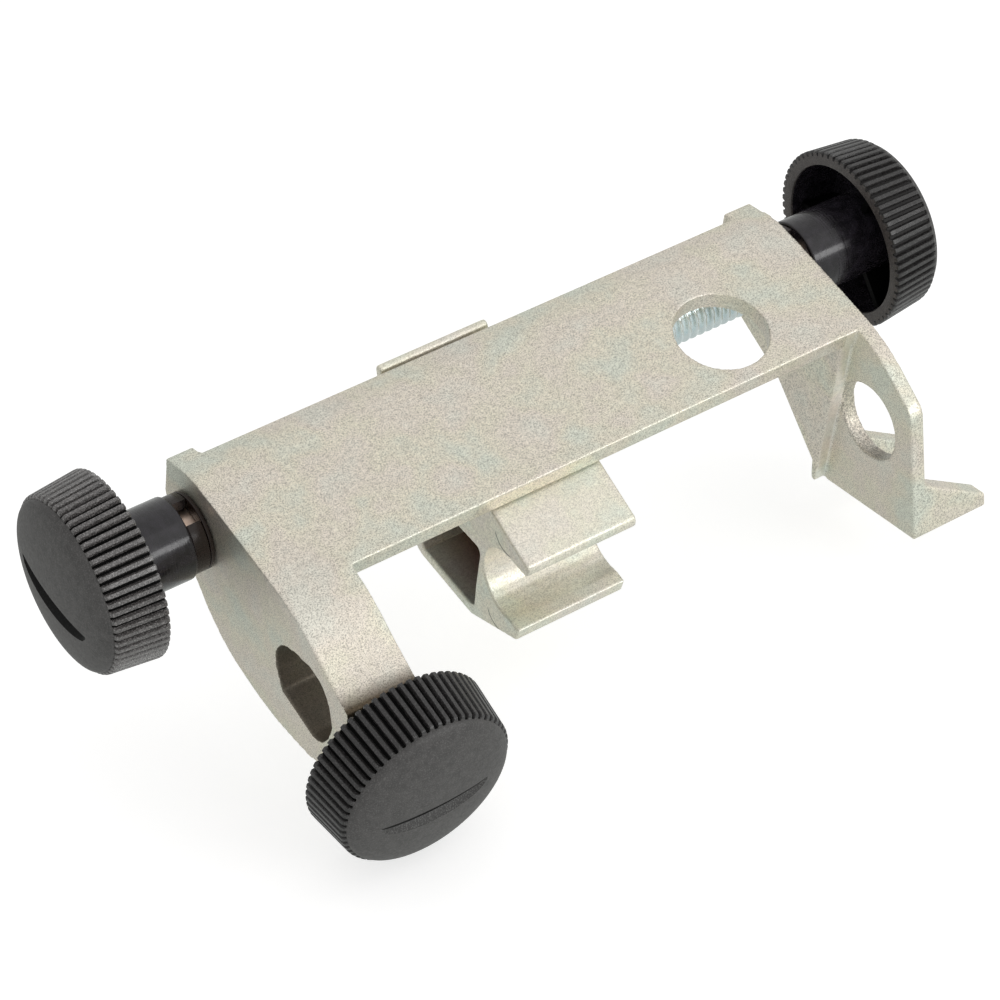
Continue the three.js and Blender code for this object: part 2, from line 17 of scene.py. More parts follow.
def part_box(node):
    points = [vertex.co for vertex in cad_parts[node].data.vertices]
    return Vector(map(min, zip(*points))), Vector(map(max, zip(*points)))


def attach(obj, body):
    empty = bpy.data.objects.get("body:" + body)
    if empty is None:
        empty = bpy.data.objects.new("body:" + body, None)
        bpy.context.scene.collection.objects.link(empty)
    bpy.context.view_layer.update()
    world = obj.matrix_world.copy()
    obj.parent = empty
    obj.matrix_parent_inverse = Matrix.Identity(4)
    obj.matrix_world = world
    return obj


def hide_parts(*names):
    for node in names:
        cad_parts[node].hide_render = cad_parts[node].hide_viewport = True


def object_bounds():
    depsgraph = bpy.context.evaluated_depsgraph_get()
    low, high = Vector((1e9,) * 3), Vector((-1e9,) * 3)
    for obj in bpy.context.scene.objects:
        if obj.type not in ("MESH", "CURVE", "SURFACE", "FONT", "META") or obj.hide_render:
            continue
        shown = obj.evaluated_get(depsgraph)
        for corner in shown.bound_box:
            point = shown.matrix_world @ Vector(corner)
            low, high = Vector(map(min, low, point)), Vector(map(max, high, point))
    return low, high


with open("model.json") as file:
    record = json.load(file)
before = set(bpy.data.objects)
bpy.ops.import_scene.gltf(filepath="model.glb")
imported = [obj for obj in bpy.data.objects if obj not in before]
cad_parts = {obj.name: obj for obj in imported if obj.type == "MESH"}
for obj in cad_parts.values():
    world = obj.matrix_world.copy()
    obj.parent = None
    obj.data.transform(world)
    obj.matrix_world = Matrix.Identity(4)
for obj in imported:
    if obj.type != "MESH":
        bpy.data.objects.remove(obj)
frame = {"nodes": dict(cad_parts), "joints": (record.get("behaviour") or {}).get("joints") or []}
CAD_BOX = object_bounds()

MM = 0.001
TAU = 2 * math.pi
NODES = frame["nodes"]
JOINTS = {joint["name"]: joint for joint in frame["joints"]}


# ------------------------------------------------------------------ places, from the frame

def box_mm(node):
    """Lowest and highest corner of a CAD node, in millimetres."""
    low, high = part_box(node)
    return np.array(low) / MM, np.array(high) / MM


BODY_RIGHT = box_mm("body_casting")[1][0]
CARRIAGE_LEFT = box_mm("carriage_casting")[0][0]
SCREW_Y, SCREW_Z = (value / MM for value in JOINTS["lead_screw_turn"]["pos_m"][1:])
CLAMP_X = JOINTS["clamp_turn"]["pos_m"][0] / MM
CLAMP_OUT = Vector(JOINTS["clamp_turn"]["axis"]).normalized()


def along_screw(x=0.0, flip=False):
    """Local +X onto the lead screw's axis; flip turns it to point at the clamp end."""
    turn = Matrix.Rotation(math.pi, 4, "Z") if flip else Matrix.Identity(4)
    return Matrix.Translation((-x if flip else x, SCREW_Y, SCREW_Z)) @ turn


def along_clamp():
    """Local +X onto the clamp axis, local +Y onto the row's +X, counted from the support bar's axis."""
    side = Vector((1, 0, 0))
    up = CLAMP_OUT.cross(side)
    turn = Matrix((CLAMP_OUT, side, up)).transposed().to_4x4()
    return Matrix.Translation((CLAMP_X, 0, 0)) @ turn


# ------------------------------------------------------------------ node materials

WHITE = (1.0, 1.0, 1.0)


class Shader:
    """A Principled material with short calls for the nodes that drive it."""

    def __init__(self, name, **sockets):
        self.material = bpy.data.materials.new(name)
        self.material.use_nodes = True
        self.tree = self.material.node_tree
        self.surface = self.tree.nodes["Principled BSDF"]
        for socket, value in sockets.items():
            self.surface.inputs[socket.replace("_", " ")].default_value = value
        self.place = self.tree.nodes.new("ShaderNodeTexCoord").outputs["Object"]

    def link(self, source, target):
        self.tree.links.new(source, target)

    def stretched(self, scale):
        """Object coordinates scaled by a different factor on each axis."""
        node = self.tree.nodes.new("ShaderNodeMapping")
        node.inputs["Scale"].default_value = scale
        self.link(self.place, node.inputs["Vector"])
        return node.outputs["Vector"]

    def noise(self, size, detail=2.0, roughness=0.5, vector=None):
        """Noise whose blobs are about size millimetres across."""
        node = self.tree.nodes.new("ShaderNodeTexNoise")
        node.inputs["Scale"].default_value = 1 / (size * MM)
        node.inputs["Detail"].default_value = detail
        node.inputs["Roughness"].default_value = roughness
        self.link(vector or self.place, node.inputs["Vector"])
        return node.outputs["Fac"]

    def cells(self, size):
        """Distance to the nearest of scattered points, size millimetres apart."""
        node = self.tree.nodes.new("ShaderNodeTexVoronoi")
        node.inputs["Scale"].default_value = 1 / (size * MM)
        self.link(self.place, node.inputs["Vector"])
        return node.outputs["Distance"]

    def vector_math(self, operation, first, second=None):
        node = self.tree.nodes.new("ShaderNodeVectorMath")
        node.operation = operation
        self.link(first, node.inputs[0])
        if second is not None:
            node.inputs[1].default_value = second
        return node.outputs["Value" if operation in ("DOT_PRODUCT", "LENGTH") else "Vector"]

    def along(self, axis, low, high):
        """0 at low and 1 at high, in millimetres along an axis through the origin."""
        node = self.tree.nodes.new("ShaderNodeMapRange")
        node.inputs["From Min"].default_value = low * MM
        node.inputs["From Max"].default_value = high * MM
        self.link(self.vector_math("DOT_PRODUCT", self.place, axis), node.inputs["Value"])
        return node.outputs["Result"]

    def arc(self, centre, radius, side):
        """White, with a dark arc on one side of a circle in the YZ plane; centre and radius in millimetres.

        Lengths are taken as shares of the circle's diameter, so the circle itself is at 0.5."""
        shift = tuple(-c * MM for c in (0.0, *centre))
        flat = self.vector_math("ADD", self.stretched((0.0, 1.0, 1.0)), shift)
        unit = 1 / (2 * radius * MM)
        offset = self.vector_math("MULTIPLY", flat, (unit, unit, unit))
        distance = self.vector_math("LENGTH", offset)
        line = self.ramp(distance, [(0.465, 1.0), (0.485, 0.2), (0.5, 0.2), (0.52, 1.0)])
        # Only one side of the ring stays dark: painted shade along that side of the circle.
        sideways = self.vector_math("DOT_PRODUCT", offset, (0.0, *side))
        away = self.ramp(sideways, [(0.32, 1.0), (0.4, 0.0)])
        return self.mix(away, line, WHITE)

    def ramp(self, value, stops):
        """stops are (position, colour or number)."""
        node = self.tree.nodes.new("ShaderNodeValToRGB")
        while len(node.color_ramp.elements) < len(stops):
            node.color_ramp.elements.new(0.5)
        for element, (position, colour) in zip(node.color_ramp.elements, stops):
            element.position = position
            element.color = (*colour, 1) if isinstance(colour, tuple) else (colour, colour, colour, 1)
        self.link(value, node.inputs["Fac"])
        return node.outputs["Color"]

    def mix(self, amount, first, second, blend="MIX"):
        node = self.tree.nodes.new("ShaderNodeMix")
        node.data_type = "RGBA"
        node.blend_type = blend
        sockets = (node.inputs[0], node.inputs[6], node.inputs[7])
        for socket, value in zip(sockets, (amount, first, second)):
            if isinstance(value, bpy.types.NodeSocket):
                self.link(value, socket)
            else:
                socket.default_value = (*value, 1) if isinstance(value, tuple) else value
        return node.outputs[2]

    def multiply(self, colour, factor, amount=1.0):
        """The colour darkened by the factor; amount, from 0 to 1, is how far."""
        return self.mix(amount, colour, factor, "MULTIPLY")

    def bump(self, height, strength, depth, normal=None):
        """Bump whose full height is depth millimetres."""
        node = self.tree.nodes.new("ShaderNodeBump")
        node.inputs["Strength"].default_value = strength
        node.inputs["Distance"].default_value = depth * MM
        self.link(height, node.inputs["Height"])
        if normal is not None:
            self.link(normal, node.inputs["Normal"])
        return node.outputs["Normal"]

    def done(self, colour=None, roughness=None, normal=None):
        for name, value in (("Base Color", colour), ("Roughness", roughness), ("Normal", normal)):
            if value is not None:
                self.link(value, self.surface.inputs[name])
        return self.material


def zinc_material(name, tint, rough, speck, dirt=0.0, painted_shade=None, arcs=()):
    """Tumbled zinc die casting: fine sparkling grain, faint yellow, pink and green clouds, small dark pits.

    speck is the brightness of the darkest grain. dirt, from 0 to 1, is how far dark patches cover the metal.
    painted_shade is (axis, start, end, colour): painted shade, from start to end along the axis the metal
    darkens to the colour.
    arcs are the centre, radius and side of each dark arc, as Shader.arc takes them."""
    shader = Shader(name, Metallic=0.8)
    warm = tuple(c * k for c, k in zip(tint, (1.03, 1.0, 0.94)))
    pink = tuple(c * k for c, k in zip(tint, (1.03, 0.975, 0.96)))
    green = tuple(c * k for c, k in zip(tint, (0.95, 1.0, 0.98)))
    colour = shader.ramp(shader.noise(9.0, 3.0), [(0.32, green), (0.46, warm), (0.56, pink), (0.7, tint)])
    speckle = shader.ramp(shader.noise(0.2, 2.0, 0.7), [(0.36, speck), (0.5, 0.87), (0.62, 1.0)])
    colour = shader.multiply(colour, speckle)
    mottle = shader.ramp(shader.noise(0.7, 2.0), [(0.3, 0.88), (0.7, 1.0)])
    colour = shader.multiply(colour, mottle)
    pits = shader.ramp(shader.cells(1.6), [(0.0, 0.4), (0.07, 1.0)])
    sparse = shader.ramp(shader.noise(2.6, 1.0), [(0.6, 1.0), (0.66, 0.0)])
    pits = shader.mix(sparse, pits, WHITE)
    colour = shader.multiply(colour, pits, 0.6)
    if dirt > 0:
        patches = shader.ramp(shader.noise(0.3, 3.0, 0.65), [(0.42, 0.12), (0.6, 1.0)])
        colour = shader.multiply(colour, patches, dirt)
    # Painted shade: the metal darkens along the axis from start to end.
    if painted_shade is not None:
        axis, start, end, shade_colour = painted_shade
        shade_factor = shader.ramp(shader.along(axis, start, end), [(0.0, 1.0), (1.0, shade_colour)])
        colour = shader.multiply(colour, shade_factor)
    # Each arc is a print's outline, kept dark on one side only as painted shade.
    for centre, radius, side in arcs:
        colour = shader.multiply(colour, shader.arc(centre, radius, side))
    roughness = shader.ramp(shader.noise(0.5, 3.0), [(0.3, rough - 0.07), (0.7, rough + 0.08)])
    fine = shader.bump(shader.noise(0.22, 2.0, 0.6), 0.6, 0.05)
    soft = shader.bump(shader.noise(1.4, 2.0), 0.25, 0.06, fine)
    return shader.done(colour, roughness, soft)


def steel_material():
    """Bright zinc-plated steel with a cool tone and faint rolling marks."""
    shader = Shader("zinc_plated_steel", Metallic=1.0)
    tone = shader.ramp(shader.noise(3.0, 3.0), [(0.3, (0.74, 0.83, 0.86)), (0.7, (0.88, 0.95, 0.96))])
    streaks = shader.noise(0.35, 2.0, 0.5, shader.stretched((0.25, 1.0, 1.0)))
    roughness = shader.ramp(streaks, [(0.3, 0.16), (0.7, 0.30)])
    return shader.done(tone, roughness, shader.bump(streaks, 0.2, 0.02))


def journal_material():
    """Bare steel of the journals, warm and satin."""
    shader = Shader("bare_steel_journal", Metallic=1.0)
    tone = shader.ramp(shader.noise(1.0, 2.0), [(0.3, (0.80, 0.60, 0.48)), (0.7, (0.95, 0.76, 0.64))])
    roughness = shader.ramp(shader.noise(0.3, 2.0), [(0.3, 0.38), (0.7, 0.5)])
    return shader.done(tone, roughness)


def brass_material():
    """Turned brass with fine tool marks round the row's X axis."""
    shader = Shader("turned_brass", Metallic=1.0)
    tone = shader.ramp(shader.noise(2.0, 3.0), [(0.3, (0.62, 0.44, 0.17)), (0.7, (0.78, 0.60, 0.28))])
    lines = shader.noise(0.25, 1.0, 0.5, shader.stretched((6.0, 0.4, 0.4)))
    roughness = shader.ramp(lines, [(0.3, 0.22), (0.7, 0.38)])
    return shader.done(tone, roughness, shader.bump(lines, 0.2, 0.02))


def moulded_black(name, base, rough, grain, glint_specks=0.6, shine=0.5):
    """Black moulded plastic with a spark-eroded grain.

    glint_specks, from 0 to 1, is how far pale specks, painted glints of the grain, cover it, and shine is its
    specular level."""
    shader = Shader(name, Specular_IOR_Level=shine)
    dark = tuple(c * 0.82 for c in base)
    light = tuple(c * 1.18 for c in base)
    colour = shader.ramp(shader.noise(1.2, 3.0), [(0.35, dark), (0.65, light)])
    # The pale specks are painted glints on the grain.
    specks = shader.ramp(shader.noise(0.2, 1.0), [(0.5, 0.0), (0.68, glint_specks)])
    colour = shader.mix(specks, colour, tuple(c * 2.6 + 0.02 + 0.05 * glint_specks * glint_specks for c in base))
    roughness = shader.ramp(shader.noise(0.4, 2.0), [(0.3, rough - 0.06), (0.7, rough + 0.08)])
    return shader.done(colour, roughness, shader.bump(shader.noise(0.2, 2.0, 0.6), grain, 0.04))


def glossy_black():
    """Polished black plastic: fine rings round the lead screw's axis and a few rubbed patches."""
    shader = Shader("glossy_black_plastic", Specular_IOR_Level=0.3, Coat_Weight=0.4, Coat_Roughness=0.12)
    dark, light = (0.008, 0.007, 0.009), (0.022, 0.019, 0.025)
    colour = shader.ramp(shader.noise(1.5, 3.0), [(0.35, dark), (0.7, light)])
    rings = shader.noise(0.22, 1.0, 0.5, shader.stretched((1.0, 0.05, 0.05)))
    rubbed = shader.noise(0.8, 4.0, 0.65)
    roughness = shader.ramp(rubbed, [(0.35, 0.14), (0.7, 0.36)])
    return shader.done(colour, roughness, shader.bump(rings, 1.0, 0.035))


def diamond_material():
    """Cloudy, partly clear crystal of industrial grade."""
    shader = Shader("diamond_crystal", IOR=2.4, Transmission_Weight=0.55)
    colour = shader.ramp(shader.noise(0.3, 3.0), [(0.3, (0.22, 0.21, 0.15)), (0.7, (0.62, 0.60, 0.48))])
    roughness = shader.ramp(shader.noise(0.15, 2.0), [(0.3, 0.05), (0.7, 0.3)])
    return shader.done(colour, roughness, shader.bump(shader.noise(0.2, 2.0), 0.3, 0.03))


CAST_TINT = (0.90, 0.8775, 0.782)
FINE_TINT = (0.93, 0.925, 0.83)
# Ejector pin prints in the carriage's left face: centre as (y, z), radius, and the side with the dark arc,
# which is painted shade along that side of the print's outline.
PRINTS = [((-0.4, 9.6), 3.1, (0.62, -0.79)), ((4.3, -6.8), 3.0, (0.6, -0.8))]

ZINC = zinc_material("cast_zinc", CAST_TINT, rough=0.44, speck=0.48)
# Painted light: a brighter copy of the zinc on the foot's step, which faces down towards the pale floor.
ZINC_STEP_LIT = zinc_material("cast_zinc_painted_light_on_step", (1.0, 0.985, 0.92), rough=0.4, speck=0.75)
ZINC_FINE = zinc_material("cast_zinc_fine", FINE_TINT, rough=0.44, speck=0.64)
ZINC_PRINTS_SHADED = zinc_material("cast_zinc_pin_prints_painted_shade", FINE_TINT, rough=0.44, speck=0.64, arcs=PRINTS)
# Painted shade: a dark copy of the zinc on the walls of the support bar's tunnel at the clamp end.
ZINC_TUNNEL_SHADE = zinc_material("cast_zinc_painted_tunnel_shade", (0.25, 0.23, 0.19), rough=0.5, speck=0.6)
# Painted shade in the carriage's side pocket: a darker zinc that darkens further to reddish brown deeper in
# the pocket.
ZINC_POCKET_SHADE = zinc_material("cast_zinc_painted_pocket_shade", (0.80, 0.82, 0.80), rough=0.4, speck=0.7,
                            painted_shade=((1.0, 0.0, 0.0), -14.5, -8.5, (0.36, 0.20, 0.17)))
# Painted shadow of the clamp knob on the front of the clamp arm, darkest next to the knob.
ZINC_KNOB_SHADOW = zinc_material("cast_zinc_painted_knob_shadow", CAST_TINT, rough=0.44, speck=0.48,
                             painted_shade=(CLAMP_OUT, 9.0, 11.4, (0.16, 0.13, 0.10)))
ZINC_ROUGH = zinc_material("cast_zinc_in_bar_hole", CAST_TINT, rough=0.5, speck=0.42, dirt=0.45)
STEEL = steel_material()
JOURNAL = journal_material()
BRASS = brass_material()
# Painted light: a paler copy of the knurl black with dense painted glints, for the left knob's ribs, which
# catch more light.
RIB_LIT = moulded_black("knurl_black_painted_light", (0.052, 0.048, 0.047), 0.28, 1.0, glint_specks=1.0, shine=1.0)
RIB_BLACK = moulded_black("knurl_black", (0.013, 0.012, 0.012), 0.32, 1.0, shine=0.6)
# Painted shade in the knurl grooves: near black in their deep half, a little less dark on the right knob. The
# webs inside the cups take the same painted shade.
GROOVE_SHADE = moulded_black("knurl_groove_painted_shade", (0.002, 0.002, 0.002), 0.6, 0.4, glint_specks=0.0, shine=0.05)
GROOVE_SHADE_SOFT = moulded_black("knurl_groove_soft_painted_shade", (0.007, 0.006, 0.006), 0.5, 0.4, glint_specks=0.2, shine=0.3)
RIM_BLACK = moulded_black("rim_black", (0.038, 0.032, 0.030), 0.5, 0.3)
CAP_BLACK = moulded_black("cap_black", (0.043, 0.041, 0.040), 0.52, 0.3, glint_specks=0.35)
# Painted shade in the caps' recesses: near black for the wall, the band below it and the slope of the spindle
# knobs; a dark grainy copy of the cap black, with painted glints, for the clamp knob's slope.
RECESS_SHADE = moulded_black("recess_painted_shade", (0.005, 0.005, 0.005), 0.5, 0.6, glint_specks=0.2, shine=0.1)
RECESS_SLOPE_SHADE = moulded_black("recess_slope_painted_shade", (0.026, 0.025, 0.024), 0.42, 0.6, glint_specks=0.7)
BEARING_BLACK = moulded_black("bearing_black_plastic", (0.016, 0.009, 0.007), 0.26, 0.2, glint_specks=0.0, shine=0.35)
GLOSS = glossy_black()
DIAMOND = diamond_material()


# ------------------------------------------------------------------ meshes

SMOOTH_BELOW = math.radians(32)


def finished(mesh):
    """Smooth shading that keeps the sharp edges sharp."""
    mesh.shade_smooth()
    mesh.set_sharp_from_angle(angle=SMOOTH_BELOW)
    mesh.update()


def mesh_object(name, points, faces, materials, material_of=None):
    """A closed mesh from points in millimetres, its faces pointing out."""
    mesh = bpy.data.meshes.new(name)
    mesh.from_pydata((np.asarray(points, float) * MM).tolist(), [], faces)
    for material in materials:
        mesh.materials.append(material)
    if material_of is not None:
        mesh.polygons.foreach_set("material_index", np.asarray(material_of, np.int32))
    sheet = bmesh.new()
    sheet.from_mesh(mesh)
    bmesh.ops.recalc_face_normals(sheet, faces=sheet.faces)
    sheet.to_mesh(mesh)
    sheet.free()
    finished(mesh)
    piece = bpy.data.objects.new(name, mesh)
    bpy.context.scene.collection.objects.link(piece)
    return piece


def place_mm(piece, matrix):
    """Moves a mesh by a matrix whose translation is in millimetres."""
    scaled = matrix.copy()
    scaled.translation *= MM
    piece.data.transform(scaled)
    return piece


def applied(piece):
    """The piece with its modifiers worked into its mesh."""
    bpy.context.view_layer.update()
    evaluated = piece.evaluated_get(bpy.context.evaluated_depsgraph_get())
    mesh = bpy.data.meshes.new_from_object(evaluated)
    piece.modifiers.clear()
    piece.data = mesh
    return piece


def boolean(piece, others, operation):
    """Joins or cuts closed meshes exactly, and removes the other ones."""
    for other in others:
        step = piece.modifiers.new(operation.lower(), "BOOLEAN")
        step.operation = operation
        step.solver = "EXACT"
        step.material_mode = "TRANSFER"
        step.object = other
    applied(piece)
    for other in others:
        bpy.data.objects.remove(other)
    finished(piece.data)
    return piece


def keep(piece, body, slot, *nodes):
    """Rides on the body and stands for the CAD nodes."""
    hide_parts(*nodes)
    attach(piece, body)
    return piece


def filleted(points, radius, steps=4):
    """A profile of (x, r) points with every corner off the axis rounded."""
    out = []
    count = len(points)
    closed = points[0][1] > 0 or points[-1][1] > 0
    for i, (x, r) in enumerate(points):
        here = np.array((x, r), float)
        if r <= 0 or (not closed and i in (0, count - 1)):
            out.append(tuple(here))
            continue
        before = np.array(points[i - 1], float) - here
        after = np.array(points[(i + 1) % count], float) - here
        cut = min(radius, 0.45 * np.linalg.norm(before), 0.45 * np.linalg.norm(after))
        start = here + before / np.linalg.norm(before) * cut
        end = here + after / np.linalg.norm(after) * cut
        for k in range(steps + 1):
            t = k / steps
            out.append(tuple((1 - t) ** 2 * start + 2 * t * (1 - t) * here + t * t * end))
    return out


def tube(x0, x1, bore, r):
    """The profile of a plain ring from x0 to x1, or of a solid disc where the bore is 0."""
    return [(x0, bore), (x0, r), (x1, r), (x1, bore)]


def turned(name, profile, materials, segments=96, depth=None, weights=None, paint=None, groove_paint=None):
    """A solid turned about local +X from (x, r) points. A profile that leaves the axis closes on itself.

    depth is a function of the angle, taken off the radius in proportion to each point's weight.
    paint gives each band its material, and groove_paint the deep half of the grooves."""
    angles = np.arange(segments) / segments * TAU
    cosines, sines = np.cos(angles), np.sin(angles)
    groove = np.array([depth(a) for a in angles]) if depth else np.zeros(segments)
    weights = weights if weights is not None else [0.0] * len(profile)
    points, rows = [], []
    for (x, r), weight in zip(profile, weights):
        if r < 1e-6:
            rows.append([len(points)] * segments)
            points.append((x, 0.0, 0.0))
            continue
        rows.append(list(range(len(points), len(points) + segments)))
        radii = r - groove * weight
        points.extend(zip([x] * segments, radii * cosines, radii * sines))
    faces, material_of = [], []
    loop = profile[0][1] > 1e-6
    deep = groove > groove.max() / 2 if groove_paint is not None else np.zeros(segments, bool)
    for i in range(len(rows) - (0 if loop else 1)):
        a, b = rows[i], rows[(i + 1) % len(rows)]
        for k in range(segments):
            n = (k + 1) % segments
            corners = list(dict.fromkeys((a[k], a[n], b[n], b[k])))
            if len(corners) > 2:
                faces.append(corners)
                grooved = deep[k] and deep[n] and weights[i] > 0.9 and weights[(i + 1) % len(rows)] > 0.9
                material_of.append(groove_paint if grooved else paint[i] if paint else 0)
    return mesh_object(name, points, faces, materials, material_of)


def prism(name, outline, x0, x1, materials):
    """An outline of (y, z) points pushed along X."""
    count = len(outline)
    points = [(x, y, z) for x in (x0, x1) for y, z in outline]
    faces = [list(range(count)), list(range(count, 2 * count))]
    faces += [[i, (i + 1) % count, count + (i + 1) % count, count + i] for i in range(count)]
    return mesh_object(name, points, faces, materials)


# ------------------------------------------------------------------ castings

# Grain of the remeshed castings, and the passes that round their edges.
VOXEL = 0.24
EDGE_PASSES = 3
# The blunt lower end of the foot end's rear wall, as (y, z), and how far it reaches along X.
WALL_END = [
    (10.6, -13.1), (11.5, -16.15), (11.75, -16.4), (12.15, -16.4),
    (12.45, -16.1), (12.1, -13.4), (11.75, -12.5),
]
WALL_END_X = (48.1, 52.9)


def casting(node, name, body, skin_material, regions, additions=()):
    """The cast piece with the small round edges of a die casting, from its CAD solid.

    regions are (material, test) with a test of face centres, in millimetres, and normals.
    additions are meshes that are joined to the solid first."""
    piece = bpy.data.objects.new(name, NODES[node].data.copy())
    bpy.context.scene.collection.objects.link(piece)
    if additions:
        boolean(piece, additions, "UNION")
    skin = piece.modifiers.new("skin", "REMESH")
    skin.mode = "VOXEL"
    skin.voxel_size = VOXEL * MM
    ease = piece.modifiers.new("ease", "SMOOTH")
    ease.factor = 0.5
    ease.iterations = EDGE_PASSES
    applied(piece)
    mesh = piece.data
    mesh.materials.clear()
    for material in (skin_material, *(material for material, _ in regions)):
        mesh.materials.append(material)
    centres, normals = (np.empty(len(mesh.polygons) * 3) for _ in range(2))
    mesh.polygons.foreach_get("center", centres)
    mesh.polygons.foreach_get("normal", normals)
    centres, normals = centres.reshape(-1, 3).T / MM, normals.reshape(-1, 3).T
    slots = np.zeros(len(mesh.polygons), np.int32)
    for slot, (_, inside) in enumerate(regions, 1):
        slots[inside(centres, normals)] = slot
    mesh.polygons.foreach_set("material_index", slots)
    mesh.shade_smooth()
    return keep(piece, body, "zinc", node)


# Distances from the support bar's axis: the farthest wall that counts as near it, the start of the clamp
# arm's front, and the farthest wall of the foot's hole.
NEAR_BAR = 8.6
ARM_FRONT = 8.8
FOOT_HOLE_R = 6.8
# The foot's step: its reach along X, its highest z, and the (y, z) that it looks to.
FOOT_STEP_X = (48.1, 50.2)
FOOT_STEP_TOP = 19
FOOT_STEP_OUT = (-0.959, -0.283)
# Two corners of the box round the carriage's side pocket, and the (y, z) of its middle.
POCKET_LOW = (CARRIAGE_LEFT + 0.4, 9.2, -11.6)
POCKET_HIGH = (-4.2, 24.4, 9.2)
POCKET_MIDDLE = (17.5, -1.5)


def towards_bar(place, normal):
    """True on walls that look at the support bar from close by."""
    away = np.hypot(place[1], place[2])
    return (away < NEAR_BAR) & (place[1] * normal[1] + place[2] * normal[2] < -0.35 * away)


def arm_end(place, normal):
    """The front of the clamp arm, down to the knob."""
    out = place[1] * CLAMP_OUT.y + place[2] * CLAMP_OUT.z
    return (place[0] < 0) & (out > ARM_FRONT) & (normal[1] * CLAMP_OUT.y + normal[2] * CLAMP_OUT.z > 0.2)


def clamp_tunnel(place, normal):
    """The walls of the support bar's tunnel at the clamp end."""
    return (place[0] < 0) & towards_bar(place, normal)


def foot_hole(place, normal):
    """The wall of the support bar's hole in the foot."""
    in_foot = (place[0] > FOOT_STEP_X[1]) & (np.hypot(place[1], place[2]) < FOOT_HOLE_R)
    return in_foot & towards_bar(place, normal)


def foot_step(place, normal):
    """The slanting step between the thick and the thin part of the foot-end cheek."""
    within = (place[0] > FOOT_STEP_X[0]) & (place[0] < FOOT_STEP_X[1]) & (place[2] < FOOT_STEP_TOP)
    return within & (FOOT_STEP_OUT[0] * normal[1] + FOOT_STEP_OUT[1] * normal[2] > 0.8)


def side_pocket(place, normal):
    """The blind pocket in the carriage's left side, with its end wall."""
    spans = zip(place, POCKET_LOW, POCKET_HIGH)
    within = np.all([(along > low) & (along < high) for along, low, high in spans], axis=0)
    outward = (place[1] - POCKET_MIDDLE[0]) * normal[1] + (place[2] - POCKET_MIDDLE[1]) * normal[2]
    return within & ((outward < -0.5) | (normal[0] < -0.9))


def left_face(place, normal):
    """The flat left face of the carriage, which carries the ejector pin prints."""
    return (place[0] < CARRIAGE_LEFT + 0.3) & (normal[0] < -0.9)


casting("body_casting", "body_casting_cast", "body", ZINC, [
    (ZINC_TUNNEL_SHADE, clamp_tunnel), (ZINC_ROUGH, foot_hole), (ZINC_STEP_LIT, foot_step), (ZINC_KNOB_SHADOW, arm_end),
], [prism("wall_end", WALL_END, *WALL_END_X, [ZINC])])
casting("carriage_casting", "carriage_casting_cast", "carriage", ZINC_FINE, [
    (ZINC_POCKET_SHADE, side_pocket), (ZINC_PRINTS_SHADED, left_face),
])


# ------------------------------------------------------------------ knobs

# Radii and lengths of a knob along its own axis, where x = 0 is the open face and the cap looks to +X.
KNOB = {"rim": 14.8, "cap": 14.0, "inner": 12.4, "width": 8.4, "dome": 2.9, "floor": 8.5}
HUB_R = 6.5
HUB_BORE = 4.2
DOME_BASE = 0.12
DOME_R = KNOB["cap"] - 0.62
TEETH = 64
TOOTH_DEPTH = 0.55
ANGLES_PER_TOOTH = 14
# Half the width of a groove at its mouth, and the width of a flank, as shares of a tooth.
GROOVE_HALF = 0.27
GROOVE_FLANK = 0.12


def tooth_gap(angle):
    """0 on a rib, full depth in the groove between two ribs."""
    phase = abs((angle * TEETH / TAU) % 1.0 - 0.5)
    t = min(max((GROOVE_HALF - phase) / GROOVE_FLANK, 0.0), 1.0)
    return TOOTH_DEPTH * t * t * (3 - 2 * t)


def cup_shell(rib, groove):
    """Knurled cup with an open face and a domed cap.

    A row is a point's x and r, its share of the grooves' depth, and the material of the band after it."""
    rim, cap, inner, width, dome, floor = (KNOB[k] for k in ("rim", "cap", "inner", "width", "dome", "floor"))
    on_rib, on_cap, inside, on_rim, in_groove = range(5)
    rows = [
        (floor, 0.0, 0, inside),
        (floor, inner - 2.4, 0, inside),
        (floor - 0.5, inner - 1.1, 0, inside),
        (floor - 1.5, inner - 0.5, 0, inside),
        (3.0, inner - 0.2, 0, inside),
        (0.35, inner, 0, on_rim),
        (0.1, inner + 0.1, 0, on_rim),
        (0.0, inner + 0.35, 0, on_rim),
        (0.0, rim - 0.9, 0, on_rim),
        (0.0, rim - 0.3, 1.0, on_rib),
        (0.1, rim - 0.08, 1.0, on_rib),
    ]
    knurl_steps = 9
    for i in range(knurl_steps + 1):
        t = i / knurl_steps
        rows.append((0.3 + (width - 0.75) * t, rim + (cap - rim) * t, 1.0, on_rib))
    rows += [
        (width - 0.25, cap - 0.08, 1.0, on_rib),
        (width - 0.05, cap - 0.25, 1.0, on_rib),
        (width + 0.05, cap - 0.48, 0.35, on_cap),
        (width + DOME_BASE, DOME_R, 0.0, on_cap),
    ]
    dome_steps = 22
    for i in range(1, dome_steps):
        t = i / dome_steps * math.pi / 2
        rows.append((width + DOME_BASE + (dome - DOME_BASE) * math.sin(t), DOME_R * math.cos(t), 0, on_cap))
    rows.append((width + dome, 0.0, 0, on_cap))
    # The deep half of each groove takes the groove material, a painted shade.
    return turned(
        "knob_cup", [row[:2] for row in rows], [rib, CAP_BLACK, GLOSS, RIM_BLACK, groove],
        segments=TEETH * ANGLES_PER_TOOTH, depth=tooth_gap, weights=[row[2] for row in rows],
        paint=[row[3] for row in rows], groove_paint=in_groove,
    )


